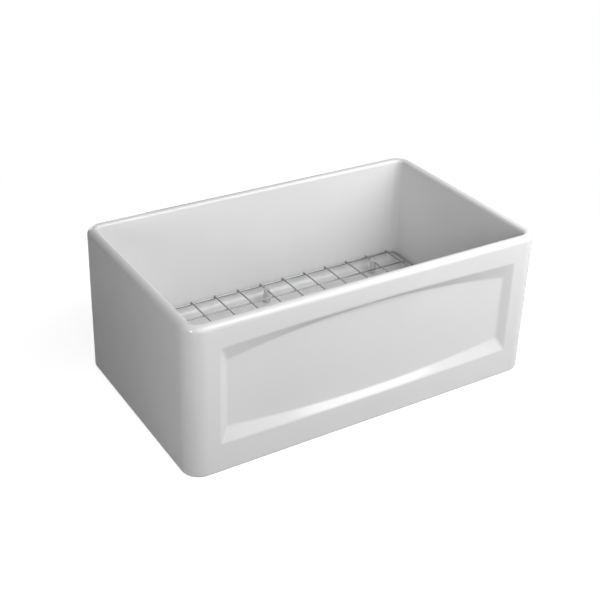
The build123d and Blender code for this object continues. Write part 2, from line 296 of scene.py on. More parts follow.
def round_the_drain(tree, place):
    """Coordinates for rings round the drain's axis, as a lathe or a spindle leaves them."""
    axes = add_node(tree, "ShaderNodeSeparateXYZ", {0: place}).outputs
    level = add_node(tree, "ShaderNodeCombineXYZ", {"X": axes["X"], "Y": axes["Y"]})
    radius = add_node(tree, "ShaderNodeVectorMath", {0: level}, operation="LENGTH").outputs["Value"]
    return add_node(tree, "ShaderNodeCombineXYZ", {"X": radius, "Z": axes["Z"]})


def spun_stainless():
    """Stainless sheet, deep-drawn and then brushed on a spindle.

    The eye sees a satin grey with fine rings round the drain.
    """
    material, tree, place = new_material("spun_stainless_sheet")
    around = round_the_drain(tree, place)
    # Brushing marks are about 0.1 mm apart; they are drawn 0.5 mm apart so that they show.
    rings = marks(tree, around, 0.5)
    clear_rings = marks(tree, around, 0.5, **full_swing)
    return complete(
        material, colours=(rings, srgb("#BDBEBF"), srgb("#CFCFCE")),
        roughness=(clear_rings, 0.22, 0.40), relief=(rings, 0.012), constants={"Metallic": 1.0},
    )


def moulded_rubber():
    """Black nitrile rubber, compression-moulded: dark and matt, with a greyish bloom in patches."""
    material, tree, place = new_material("moulded_black_rubber")
    bloom = marks(tree, place, 9.0, 3.0, 0.45, 0.75)
    texture = marks(tree, place, 0.5, 1.0)
    return complete(
        material, colours=(bloom, srgb("#1C1C1D"), srgb("#2C2C2D")),
        roughness=(bloom, 0.5, 0.72), relief=(texture, 0.02), constants={"IOR": 1.52},
    )


def pressed_fibre():
    """Vulcanised fibre, pressed in sheets and stamped: red-brown, matt, with darker flecks."""
    material, tree, place = new_material("pressed_red_fibre")
    flecks = marks(tree, place, 1.2, 4.0, 0.55, 0.7)
    fibres = marks(tree, place, 0.8, 3.0)
    return complete(
        material, colours=(flecks, srgb("#93643F"), srgb("#6F4529")),
        roughness=(flecks, 0.72, 0.88), relief=(fibres, 0.05), constants={"IOR": 1.5},
    )


def tumbled_zinc():
    """Zinc, die-cast and barrel-tumbled: dull blue-grey with small dents and worn, brighter spots."""
    material, tree, place = new_material("tumbled_zinc_casting")
    worn = marks(tree, place, 7.0, 2.0, 0.4, 0.65)
    dents = marks(tree, place, 1.4, 3.0)
    return complete(
        material, colours=(worn, srgb("#9A9DA0"), srgb("#B3B5B7")),
        roughness=(worn, 0.55, 0.36), relief=(dents, 0.06), constants={"Metallic": 1.0},
    )


def turned_brass():
    """Brass bar, turned and left bright: yellow, with fine tool rings and a slight brown tarnish."""
    material, tree, place = new_material("turned_brass")
    tarnish = marks(tree, place, 3.0, 3.0, 0.45, 0.75)
    around = round_the_drain(tree, place)
    rings = marks(tree, around, 0.4)
    clear_rings = marks(tree, around, 0.4, **full_swing)
    return complete(
        material, colours=(tarnish, srgb("#CDAE66"), srgb("#A98A4B")),
        roughness=(clear_rings, 0.18, 0.34), relief=(rings, 0.01), constants={"Metallic": 1.0},
    )


# --- Fireclay casting ------------------------------------------------------------------------
casting_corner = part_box("sink_body")[1]
half_width = casting_corner.x / MM
half_depth = casting_corner.y / MM
height = casting_corner.z / MM
corner_radius = 36.0
rim_thickness = 20.0
rim_outer_round = 12.0
rim_inner_round = 7.5           # rounder than the CAD part's, as the photograph shows
rim_corner = 16.0
foot_round = 0.6
base_round = 4.0
wall_lean = radians(2.0)
floor_height = 62.0
floor_corner = 20.0
floor_round = 10.0              # tighter than the CAD part's, as the photograph shows
slab_underside = 40.0
skirt_thickness = 22.0
skirt_corner = 18.0
skirt_round = 8.0
dish_radius = 140.0
dish_floor = 59.0
seat_radius = 58.0
seat_height = 55.8
seat_round = 1.5
drain_hole_radius = 44.5
drain_hole_edge = 1.0           # cut off the hole's upper edge
drain_boss_width = 20.0         # a ring of faces round the hole's lower edge

panel_half_width = 320.0
panel_low = 60.5
panel_low_sag = 4.0
panel_high = 255.5
panel_high_rise = 6.0
panel_recess = 10.5             # a little deeper than the CAD part's, as the bevels' tones show
field_half_width = 302.0
field_low = 89.5
field_low_sag = 19.0
field_high = 222.0
field_high_rise = 28.5
panel_edge_ease = 2.5           # how far the glaze softens the panel's outer edge, each way
field_edge_ease = 1.8
mitre_ease = 1.6                # depth over which two bevels run into each other

# The mesh: rows and columns stand closest where the panel's edges are softened.
edge_offsets = (-4.0, -2.5, -1.2, 0.0, 1.2, 2.5, 4.0)
edge_reach = edge_offsets[-1]
field_offsets = (-3.2, -2.0, -1.0, 0.0, 1.0, 2.0, 3.2)
field_reach = field_offsets[-1]
bevel_offsets = (5.2, 7.4, 9.6, 11.4)
frame_offset = 10.0             # of the one column on the plain frame beside the panel
corner_gap = 1.0                # between the last two columns, where the corner begins
round_gap = 1.5                 # between the wall's plain rows and the rounds
field_rows = 9
field_columns = 20
column_spacing = 15.0

# Faces along the stretches of a loop and round each rounded edge.
corner_steps = 8
side_steps = 24
rear_steps = 40
edge_steps = 4
rim_steps = 8
sweep_steps = 12
dish_steps = 8

# Loops on the flat stretches, as shares of the way across them.
quarters = (0.25, 0.5, 0.75)
rim_top_shares = (0.3, 0.7)
basin_shares = (0.01, 0.05, *[i / 14 for i in range(1, 14)], 0.97, 0.995)
floor_shares = (0.03, 0.15, 0.3, 0.45, 0.6, 0.75, 0.9)


def bow(x, half_span, middle_rise):
    """Height of a circular arc above its ends, at x."""
    radius = (half_span**2 + middle_rise**2) / (2 * middle_rise)
    x = min(abs(x), half_span)
    return sqrt(radius**2 - x**2) - (radius - middle_rise)


# Heights at x of the panel's four arcs: two bound its outline, two the flat field in it.
def low_edge(x):
    return panel_low - bow(x, panel_half_width, panel_low_sag)


def low_field(x):
    return field_low - bow(x, field_half_width, field_low_sag)


def high_field(x):
    return field_high + bow(x, field_half_width, field_high_rise)


def high_edge(x):
    return panel_high + bow(x, panel_half_width, panel_high_rise)


def eased_step(distance, ease):
    """Zero below zero and the distance above it, with a rounded knee."""
    if abs(distance) >= ease:
        return max(distance, 0.0)
    return (distance + ease) ** 2 / (4 * ease)


def bevel(distance, width):
    """Depth of one bevel at a distance inside the panel's outline."""
    climb = eased_step(distance, panel_edge_ease) - eased_step(distance - width, field_edge_ease)
    return panel_recess / width * climb


def blended_lower(a, b):
    """The lower of two depths, run into each other."""
    overlap = max(mitre_ease - abs(a - b), 0.0)
    return min(a, b) - overlap**2 / (4 * mitre_ease)


def panel_depth(x, z):
    """How far the apron's panel is sunk at a place on the front face."""
    side = bevel(panel_half_width - abs(x), panel_half_width - field_half_width)
    below = bevel(z - low_edge(x), low_field(x) - low_edge(x))
    above = bevel(high_edge(x) - z, high_edge(x) - high_field(x))
    return max(blended_lower(side, blended_lower(below, above)), 0.0)


def wall_rows():
    """Rows of the outer wall from the base round to the rim round, each a height that depends on x."""
    wall_low = base_round + round_gap
    wall_high = height - rim_outer_round - round_gap
    rows = []

    def between(start, end, shares):
        for share in shares:
            rows.append(lambda x, share=share: start(x) + share * (end(x) - start(x)))

    def along(curve, offsets):
        for offset in offsets:
            rows.append(lambda x, offset=offset: curve(x) + offset)

    between(lambda x: wall_low, lambda x: low_edge(x) - edge_reach, (0.0, *quarters))
    along(low_edge, edge_offsets)
    between(lambda x: low_edge(x) + edge_reach, lambda x: low_field(x) - field_reach, quarters)
    along(low_field, field_offsets)
    between(
        lambda x: low_field(x) + field_reach, lambda x: high_field(x) - field_reach,
        [i / field_rows for i in range(1, field_rows)],
    )
    along(high_field, field_offsets)
    between(lambda x: high_field(x) + field_reach, lambda x: high_edge(x) - edge_reach, quarters)
    along(high_edge, edge_offsets)
    between(lambda x: high_edge(x) + edge_reach, lambda x: wall_high, (*quarters, 1.0))
    return rows


def front_columns():
    """Places across the front face, closer together at the panel's edges."""
    face_end = half_width - corner_radius
    right = [i * column_spacing for i in range(field_columns)]
    right += [field_half_width + offset for offset in (*field_offsets, *bevel_offsets)]
    right += [panel_half_width + offset for offset in edge_offsets]
    right += [panel_half_width + frame_offset, face_end - corner_gap, face_end]
    return [-x for x in reversed(right[1:])] + right


def loop_slots():
    """Where each vertex of a loop stands: a stretch of the outline and its share along it."""
    reach = half_width - corner_radius
    turn = [i / corner_steps for i in range(1, corner_steps)]
    sides = [-1 + 2 * i / side_steps for i in range(side_steps + 1)]
    rears = [-1 + 2 * i / rear_steps for i in range(rear_steps + 1)]
    stretches = {
        "front": [x / reach for x in front_columns()], "front_right": turn, "right": sides,
        "rear_right": turn, "rear": rears, "rear_left": turn, "left": sides, "front_left": turn,
    }
    return [(stretch, share) for stretch, shares in stretches.items() for share in shares]


def on_rounded_rectangle(slot, half_w, half_d, corner):
    """The place of a slot on a rounded rectangle, seen from above."""
    stretch, t = slot
    inner_w = half_w - corner
    inner_d = half_d - corner
    straight = {
        "front": (t * inner_w, -half_d),
        "right": (half_w, t * inner_d),
        "rear": (-t * inner_w, half_d),
        "left": (-half_w, -t * inner_d),
    }
    if stretch in straight:
        return straight[stretch]
    centre_x, centre_y, start = {
        "front_right": (inner_w, -inner_d, -90),
        "rear_right": (inner_w, inner_d, 0),
        "rear_left": (-inner_w, inner_d, 90),
        "front_left": (-inner_w, -inner_d, 180),
    }[stretch]
    angle = radians(start + 90 * t)
    return centre_x + corner * cos(angle), centre_y + corner * sin(angle)


slots = loop_slots()


def rectangle(half_w, half_d, corner, z):
    """A level loop round a rounded rectangle."""
    return [(*on_rounded_rectangle(slot, half_w, half_d, corner), z) for slot in slots]


def outside(inset, z):
    """A level loop round the casting's outside, moved in by an inset."""
    return rectangle(half_width - inset, half_depth - inset, corner_radius - inset, z)


slot_angles = [atan2(y / half_depth, x / half_width) for x, y, z in outside(0.0, 0.0)]


def circle(radius, z):
    """A level loop round the drain's axis."""
    return [(radius * cos(a), radius * sin(a), z) for a in slot_angles]


def blends(start, end, shares):
    """Loops that stand at shares of the way from one loop to another."""
    return [
        [tuple(p + share * (q - p) for p, q in zip(a, b)) for a, b in zip(start, end)]
        for share in shares
    ]


def foot_loops():
    """The foot's edge and the round above it."""
    return [outside(base_round + foot_round, 0.0)] + [
        outside(base_round * (1 - sin(a)), base_round * (1 - cos(a)))
        for a in angles(0.0, radians(90), edge_steps)
    ]


def wall_loops():
    """The outer wall, with the panel sunk in its front."""
    loops = []
    for row in wall_rows():
        loop = []
        for (stretch, _), (x, y, _) in zip(slots, outside(0.0, 0.0)):
            z = row(x if stretch == "front" else panel_half_width)
            sunk = panel_depth(x, z) if stretch == "front" else 0.0
            loop.append((x, y + sunk, z))
        loops.append(loop)
    return loops


def rim_loops():
    """The rim: its outer round, its level top and its inner round."""
    loops = [
        outside(rim_outer_round * (1 - cos(a)), height - rim_outer_round * (1 - sin(a)))
        for a in angles(0.0, radians(90), rim_steps)
    ]
    inner_reach = rim_inner_round * tan(radians(45) - wall_lean / 2)
    flat_inset = rim_thickness - inner_reach
    for share in rim_top_shares:
        inset = rim_outer_round + share * (flat_inset - rim_outer_round)
        corner = corner_radius - rim_outer_round
        corner += share * (rim_corner + inner_reach - corner)
        loops.append(rectangle(half_width - inset, half_depth - inset, corner, height))
    for a in angles(0.0, radians(90) - wall_lean, rim_steps):
        inset = flat_inset + rim_inner_round * sin(a)
        corner = rim_corner + inner_reach - rim_inner_round * sin(a)
        z = height - rim_inner_round * (1 - cos(a))
        loops.append(rectangle(half_width - inset, half_depth - inset, corner, z))
    return loops


def basin_loops():
    """The basin's wall, the sweep at its foot, and its floor, dished to the drain."""
    basin_depth = height - floor_height
    floor_w = half_width - rim_thickness - basin_depth * tan(wall_lean)
    floor_d = half_depth - rim_thickness - basin_depth * tan(wall_lean)
    sweep_reach = floor_round * tan(radians(45) - wall_lean / 2)
    sweep_top = floor_height + floor_round * (1 - sin(wall_lean))
    wall_top = height - rim_inner_round * (1 - sin(wall_lean))
    loops = []
    for share in basin_shares:
        z = wall_top + share * (sweep_top - wall_top)
        out = (z - floor_height) * tan(wall_lean)
        corner = floor_corner + (rim_corner - floor_corner) * (z - floor_height) / basin_depth
        loops.append(rectangle(floor_w + out, floor_d + out, corner, z))
    for a in angles(wall_lean, radians(90), sweep_steps):
        inset = sweep_reach - floor_round * cos(a)
        z = floor_height + floor_round * (1 - sin(a))
        loops.append(rectangle(floor_w - inset, floor_d - inset, floor_corner - inset, z))
    loops += blends(loops[-1], circle(dish_radius, floor_height), floor_shares)
    dish_foot = seat_radius + seat_round
    loops += [
        circle(dish_radius + share * (dish_foot - dish_radius),
               floor_height + share * (dish_floor - floor_height))
        for share in [i / dish_steps for i in range(dish_steps + 1)]
    ]
    loops += [
        circle(seat_radius + seat_round * (1 - sin(a)), dish_floor - seat_round * (1 - cos(a)))
        for a in angles(0.0, radians(90), edge_steps)[1:]
    ]
    return loops


def underside_loops():
    """The drain's seat and hole, the hollow underside and the inside of its skirt."""
    loops = [circle(radius, z) for radius, z in (
        (seat_radius, seat_height),
        (drain_hole_radius + drain_hole_edge, seat_height),
        (drain_hole_radius, seat_height - drain_hole_edge),
        (drain_hole_radius, slab_underside),
        (drain_hole_radius + drain_boss_width, slab_underside),
        (dish_radius, slab_underside),
    )]
    inner_w = half_width - skirt_thickness
    inner_d = half_depth - skirt_thickness
    rounds = []
    for a in angles(0.0, radians(90), edge_steps):
        inset = skirt_round * (1 - sin(a))
        z = slab_underside - skirt_round * (1 - cos(a))
        rounds.append(rectangle(inner_w - inset, inner_d - inset, skirt_corner - inset, z))
    skirt = [rectangle(inner_w, inner_d, skirt_corner, z) for z in (skirt_round, 0.0)]
    return loops + blends(loops[-1], rounds[0], quarters) + rounds + skirt


waviness = 0.5            # the fired surface strays inwards from true by up to this much
waviness_length = 130.0   # from one swell to the next
no_length = 1e-9          # keeps a normal without length from dividing by zero
true_foot = 1.0           # the foot stays true this far up
true_foot_fade = 12.0
true_seat = 4.0           # the floor stays true this far from the drain's seat
true_seat_fade = 30.0


def fired(points):
    """Lets the surface stray inwards from true a little, as clay does in the kiln."""
    along = np.roll(points, -1, axis=1) - np.roll(points, 1, axis=1)
    across = np.roll(points, -1, axis=0) - np.roll(points, 1, axis=0)
    normals = np.cross(along, across)
    normals /= np.maximum(np.linalg.norm(normals, axis=2, keepdims=True), no_length)
    strayed = points.copy()
    for place in np.ndindex(points.shape[:2]):
        x, y, z = points[place]
        off_seat = sqrt(x * x + y * y) - seat_radius
        free_of_foot = min(max((z - true_foot) / true_foot_fade, 0.0), 1.0)
        free_of_seat = min(max((off_seat - true_seat) / true_seat_fade, 0.0), 1.0)
        swell = (1 + noise.noise(Vector((x, y, z)) / waviness_length)) / 2
        strayed[place] -= normals[place] * waviness * swell * free_of_foot * free_of_seat
    return strayed


def make_casting(material):
    """The casting: closed loops from the foot up the outside, over the rim and down to the drain."""
    loops = foot_loops() + wall_loops() + rim_loops() + basin_loops() + underside_loops()
    points = fired(np.array(loops)).reshape(-1, 3) * MM
    faces = quads_between(len(loops), len(slots))
    casting = mesh_object("casting", points.tolist(), faces, material)
    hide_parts("sink_body")
    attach(casting, "sink")


# --- Shapes that follow a rule ---------------------------------------------------------------
def empty_tree(name, inputs):
    """A geometry tree with named inputs, and its group input's outputs."""
    tree = bpy.data.node_groups.new(name, "GeometryNodeTree")
    tree.interface.new_socket("Geometry", in_out="INPUT", socket_type="NodeSocketGeometry")
    for label, kind in inputs.items():
        tree.interface.new_socket(label, in_out="INPUT", socket_type=kind)
    tree.interface.new_socket("Geometry", in_out="OUTPUT", socket_type="NodeSocketGeometry")
    return tree, add_node(tree, "NodeGroupInput").outputs


def close_tree(tree, geometry, material):
    """Ends a geometry tree: smooth, real geometry with its material."""
    smooth = add_node(tree, "GeometryNodeSetShadeSmooth", {"Geometry": geometry})
    real = add_node(tree, "GeometryNodeRealizeInstances", {"Geometry": smooth})
    dressed = add_node(tree, "GeometryNodeSetMaterial", {"Geometry": real, "Material": material})
    add_node(tree, "NodeGroupOutput", {"Geometry": dressed})
    return tree


def grown(name, vertices, edges, tree, sizes, material):
    """Runs a geometry tree on a skeleton of points and edges, and keeps the result as a plain mesh."""
    skeleton = bpy.data.meshes.new(name + "_skeleton")
    skeleton.from_pydata([Vector(v) * MM for v in vertices], edges, [])
    piece = bpy.data.objects.new(name, skeleton)
    bpy.context.scene.collection.objects.link(piece)
    modifier = piece.modifiers.new("grow", "NODES")
    modifier.node_group = tree
    for item in tree.interface.items_tree:
        if item.in_out == "INPUT" and item.name in sizes:
            modifier[item.identifier] = sizes[item.name]
    depsgraph = bpy.context.evaluated_depsgraph_get()
    mesh = bpy.data.meshes.new_from_object(
        piece.evaluated_get(depsgraph), preserve_all_data_layers=True, depsgraph=depsgraph
    )
    piece.modifiers.remove(modifier)
    piece.data = mesh
    if not mesh.materials:
        mesh.materials.append(material)
    return piece


# --- Wire rack -------------------------------------------------------------------------------
wire_end_round = 0.8
wire_end_shares = (0.0, 0.08, 0.3, 0.6, 1.0)
wire_sides = 14
ring_steps = 72
rim_wire_bend = 12.0
bend_steps = 8
bead_width = 3.9
bead_height = 1.6
bead_seed = 7
bead_smallest = (0.88, 0.88, 0.9)      # shares of the bead's size
bead_largest = (1.08, 1.08, 1.1)
bead_segments = 12
bead_rings = 7
touching = 1.0            # a cross wire this far past a long wire's end still touches it
well_inside = 10.0        # a cross wire that ends this far inside the rim wire ends on the ring


def wire_tree(material):
    """Draws a round wire along each skeleton line, its cut ends softened by a quarter round."""
    tree, given = empty_tree("drawn_wires", {
        "Wire radius": "NodeSocketFloat",
        "End round": "NodeSocketFloat",
        "Sides": "NodeSocketInt",
    })
    wire_radius = given["Wire radius"]
    lines = add_node(tree, "GeometryNodeMeshToCurve", {"Mesh": given["Geometry"]})
    from_start = add_node(tree, "GeometryNodeSplineParameter").outputs["Length"]
    whole = add_node(tree, "GeometryNodeSplineLength")
    to_end = add_node(tree, "ShaderNodeMath", {0: whole, 1: from_start}, operation="SUBTRACT")
    from_end = add_node(tree, "ShaderNodeMath", {0: from_start, 1: to_end}, operation="MINIMUM")
    short = add_node(tree, "ShaderNodeMapRange", {
        "Value": from_end, "From Max": given["End round"], "To Min": 1.0, "To Max": 0.0,
    })
    square = add_node(tree, "ShaderNodeMath", {0: short, 1: short}, operation="MULTIPLY")
    rest = add_node(tree, "ShaderNodeMath", {0: 1.0, 1: square}, operation="SUBTRACT")
    fullness = add_node(tree, "ShaderNodeMath", {0: rest}, operation="SQRT")
    flat_end = add_node(
        tree, "ShaderNodeMath", {0: wire_radius, 1: given["End round"]}, operation="SUBTRACT"
    )
    end_radius = add_node(
        tree, "ShaderNodeMath", {0: given["End round"], 1: fullness, 2: flat_end},
        operation="MULTIPLY_ADD",
    )
    share = add_node(tree, "ShaderNodeMath", {0: end_radius, 1: wire_radius}, operation="DIVIDE")
    closed = add_node(tree, "GeometryNodeInputSplineCyclic")
    radius = add_node(
        tree, "GeometryNodeSwitch", {"Switch": closed, "False": share, "True": 1.0},
        input_type="FLOAT",
    )
    tapered = add_node(tree, "GeometryNodeSetCurveRadius", {"Curve": lines, "Radius": radius})
    outline = add_node(
        tree, "GeometryNodeCurvePrimitiveCircle",
        {"Resolution": given["Sides"], "Radius": wire_radius},
    )
    # The drawn streaks follow the place on the wire's section, so that is kept for the material.
    section = add_node(
        tree, "GeometryNodeStoreNamedAttribute",
        {"Geometry": outline, "Name": "section", "Value": add_node(tree, "GeometryNodeInputPosition")},
        data_type="FLOAT_VECTOR", domain="POINT",
    )
    tube = add_node(tree, "GeometryNodeCurveToMesh", {
        "Curve": tapered, "Profile Curve": section, "Fill Caps": True,
        "Scale": add_node(tree, "GeometryNodeInputRadius"),
    })
    return close_tree(tree, tube, material)


def bead_tree(material):
    """Sets a small, slightly uneven weld bead on each skeleton point."""
    tree, given = empty_tree("weld_beads", {
        "Bead width": "NodeSocketFloat",
        "Bead height": "NodeSocketFloat",
        "Smallest": "NodeSocketVector",
        "Largest": "NodeSocketVector",
        "Seed": "NodeSocketInt",
    })
    bead = add_node(
        tree, "GeometryNodeMeshUVSphere",
        {"Segments": bead_segments, "Rings": bead_rings, "Radius": 0.5},
    )
    uneven = add_node(
        tree, "FunctionNodeRandomValue",
        {"Min": given["Smallest"], "Max": given["Largest"], "Seed": given["Seed"]},
        data_type="FLOAT_VECTOR",
    )
    size = add_node(
        tree, "ShaderNodeCombineXYZ",
        {"X": given["Bead width"], "Y": given["Bead width"], "Z": given["Bead height"]},
    )
    scale = add_node(tree, "ShaderNodeVectorMath", {0: uneven, 1: size}, operation="MULTIPLY")
    beads = add_node(
        tree, "GeometryNodeInstanceOnPoints",
        {"Points": given["Geometry"], "Instance": bead, "Scale": scale},
    )
    return close_tree(tree, beads, material)


def wire_ends(node, axis):
    """A straight CAD wire's two ends and its radius, in millimetres."""
    low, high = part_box(node)
    start = (low + high) / 2
    end = start.copy()
    start[axis], end[axis] = low[axis], high[axis]
    across = 1 - axis
    return start / MM, end / MM, (high[across] - low[across]) / 2 / MM


def along_wire(start, end):
    """Places along a straight wire, closer together at its softened ends."""
    whole = (end - start).length
    steps = [wire_end_round * share for share in wire_end_shares]
    lengths = steps + [whole / 2] + [whole - step for step in reversed(steps)]
    return [start + (end - start) * (length / whole) for length in lengths]


def round_the_rim(half_w, half_d, z):
    """A closed path round a rectangle with bent corners."""
    stretches = ("front_right", "rear_right", "rear_left", "front_left")
    turns = [(stretch, i / bend_steps) for stretch in stretches for i in range(bend_steps + 1)]
    return [Vector((*on_rounded_rectangle(turn, half_w, half_d, rim_wire_bend), z)) for turn in turns]


def skeleton_of(lines, loop):
    """The points and edges of open lines and of one closed loop."""
    vertices, edges = [], []
    for points in (*lines, loop):
        numbers = range(len(vertices), len(vertices) + len(points))
        vertices += points
        edges += zip(numbers, numbers[1:])
    edges.append((numbers[-1], numbers[0]))
    return vertices, edges


def make_rack(material):
    """The rack's wires and their welds. Its rubber feet stay the CAD ones."""
    cross = [wire_ends(name, 1) for name in sorted(nodes) if name.startswith("rack_cross_wire")]
    long = [wire_ends(name, 0) for name in sorted(nodes) if name.startswith("rack_long_wire")]
    wire_radius = cross[0][2]
    ring_low, ring_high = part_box("rack_drain_ring")
    ring_radius = ring_high.x / MM - wire_radius
    ring_level = (ring_low.z + ring_high.z) / 2 / MM
    ring = [
        Vector((ring_radius * cos(a), ring_radius * sin(a), ring_level))
        for a in angles(0.0, 2 * pi, ring_steps)[:-1]
    ]
    straight = [along_wire(start, end) for start, end, _ in cross + long]
    tree = wire_tree(material)
    sizes = {"Wire radius": wire_radius * MM, "End round": wire_end_round * MM, "Sides": wire_sides}
    wires = grown("rack_wires", *skeleton_of(straight, ring), tree, sizes, material)
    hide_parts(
        "rack_drain_ring",
        *[name for name in nodes if name.startswith(("rack_cross_wire", "rack_long_wire"))],
    )

    rim_low, rim_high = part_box("rack_rim_wire")
    rim_radius = (rim_high.z - rim_low.z) / 2 / MM
    half_w = rim_high.x / MM - rim_radius
    half_d = rim_high.y / MM - rim_radius
    around = round_the_rim(half_w, half_d, (rim_low.z + rim_high.z) / 2 / MM)
    sizes["Wire radius"] = rim_radius * MM
    rim = grown("rack_rim", *skeleton_of([], around), tree, sizes, material)
    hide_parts("rack_rim_wire")

    # A cross wire is welded to the long wires under it, to the rim wire and, cut short, to the ring.
    # A long wire is welded at its ends too.
    welds = []
    weld_level = cross[0][0].z - wire_radius
    for start, end, _ in cross:
        crossings = [
            left.y for left, right, _ in long
            if left.x - touching < start.x < right.x + touching and start.y < left.y < end.y
        ]
        crossings += [y for y in (-half_d, half_d) if start.y < y < end.y]
        crossings += [y for y in (start.y, end.y) if abs(y) < half_d - well_inside]
        welds += [(start.x, y, weld_level) for y in crossings]
    for left, right, _ in long:
        welds += [left, right]
    bead_sizes = {
        "Bead width": bead_width * MM, "Bead height": bead_height * MM,
        "Smallest": bead_smallest, "Largest": bead_largest, "Seed": bead_seed,
    }
    beads = grown("rack_welds", welds, [], bead_tree(material), bead_sizes, material)
    for piece in (wires, rim, beads):
        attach(piece, "rack")


# --- Basket strainer -------------------------------------------------------------------------
edge_rounds = {           # how far the sharp edges of each part are rounded, by body
    "sink": {
        "strainer_crossbar": 0.3,
        "lock_nut": 0.9,
        "flange_seal": 0.3,
        "under_gasket": 0.6,
        "friction_washer": 0.3,
    },
    "basket": {
        "basket_cup": 0.25,
        "basket_stopper": 0.8,
        "basket_nut": 0.35,
        "basket_clip": 0.2,
        "basket_knob": 0.5,
    },
}
edge_segments = 3
sharp_from = radians(30)
same_point = 0.005        # CAD vertices this close are one
turned_steps = 96
shoulder_round = 3.0
cup_bore = 40.0
cup_outside = 42.8
flange_fall = 0.8         # the flange's edge lies this far below its middle
flange_sheet = 1.5
cone_top = 32.3
cone_low = 24.3
cone_round = 1.5
outlet_bore = 20.5
outlet_wall = 3.5
outlet_top = 20.0
nut_low = 26.3
thread_depth = 1.1
thread_pitch = 2.2
thread_turns = 5.5
thread_start = 2.2        # above the outlet's end
thread_steps = 64         # to a turn


def with_rounded_edges(node, edge_round):
    """Stands for a CAD node: the same shape with its sharp edges rounded."""
    mesh = nodes[node].data.copy()
    shell = bmesh.new()
    shell.from_mesh(mesh)
    bmesh.ops.remove_doubles(shell, verts=shell.verts, dist=same_point * MM)
    shell.to_mesh(mesh)
    shell.free()
    mesh.shade_smooth()
    piece = bpy.data.objects.new(node + "_finished", mesh)
    bpy.context.scene.collection.objects.link(piece)
    rounding = piece.modifiers.new("rounded_edges", "BEVEL")
    rounding.width = edge_round * MM
    rounding.segments = edge_segments
    rounding.limit_method = "ANGLE"
    rounding.angle_limit = sharp_from
    rounding.harden_normals = True
    depsgraph = bpy.context.evaluated_depsgraph_get()
    rounded = bpy.data.meshes.new_from_object(piece.evaluated_get(depsgraph), depsgraph=depsgraph)
    piece.modifiers.remove(rounding)
    piece.data = rounded
    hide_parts(node)
    return piece


def rounded_outline(corners):
    """A closed outline with its corners rounded. Each corner is a radius, a height and its rounding."""
    outline = []
    for before, corner, after in zip(corners[-1:] + corners[:-1], corners, corners[1:] + corners[:1]):
        point = Vector(corner[:2])
        start = point + (Vector(before[:2]) - point).normalized() * corner[2]
        end = point + (Vector(after[:2]) - point).normalized() * corner[2]
        for share in (0.0, *quarters, 1.0):
            outline.append(start.lerp(point, share).lerp(point.lerp(end, share), share))
    return outline


def turned(name, outline, material):
    """A ring-shaped piece: a closed outline of radius and height, turned round the drain's axis."""
    turn = angles(0.0, 2 * pi, turned_steps)[:-1]
    vertices = [
        Vector((radius * cos(a), radius * sin(a), level)) * MM for radius, level in outline for a in turn
    ]
    return mesh_object(name, vertices, quads_between(len(outline), turned_steps), material)


def thread_tree(material):
    """Winds a pointed ridge up the outlet. It runs out at both ends, in half a turn."""
    tree, given = empty_tree("cut_thread", {
        "Root radius": "NodeSocketFloat",
        "Depth": "NodeSocketFloat",
        "Pitch": "NodeSocketFloat",
        "Turns": "NodeSocketFloat",
        "Steps": "NodeSocketInt",
        "Start": "NodeSocketFloat",
    })
    rise = add_node(
        tree, "ShaderNodeMath", {0: given["Pitch"], 1: given["Turns"]}, operation="MULTIPLY"
    )
    helix = add_node(tree, "GeometryNodeCurveSpiral", {
        "Resolution": given["Steps"], "Rotations": given["Turns"], "Height": rise,
        "Start Radius": given["Root radius"], "End Radius": given["Root radius"],
    })
    up = add_node(tree, "ShaderNodeCombineXYZ", {"Z": given["Start"]})
    raised = add_node(tree, "GeometryNodeTransform", {"Geometry": helix, "Translation": up})
    along = add_node(tree, "GeometryNodeSplineParameter")
    left = add_node(tree, "ShaderNodeMath", {0: 1.0, 1: along}, operation="SUBTRACT")
    from_end = add_node(tree, "ShaderNodeMath", {0: along, 1: left}, operation="MINIMUM")
    half_turns = add_node(
        tree, "ShaderNodeMath", {0: given["Turns"], 1: 2.0}, operation="MULTIPLY"
    )
    run_out = add_node(
        tree, "ShaderNodeMath", {0: from_end, 1: half_turns}, operation="MULTIPLY", use_clamp=True
    )
    tapered = add_node(tree, "GeometryNodeSetCurveRadius", {"Curve": raised, "Radius": run_out})
    ridge = add_node(
        tree, "GeometryNodeCurvePrimitiveCircle", {"Resolution": 4, "Radius": given["Depth"]}
    )
    tube = add_node(tree, "GeometryNodeCurveToMesh", {
        "Curve": tapered, "Profile Curve": ridge, "Fill Caps": True,
        "Scale": add_node(tree, "GeometryNodeInputRadius"),
    })
    return close_tree(tree, tube, material)


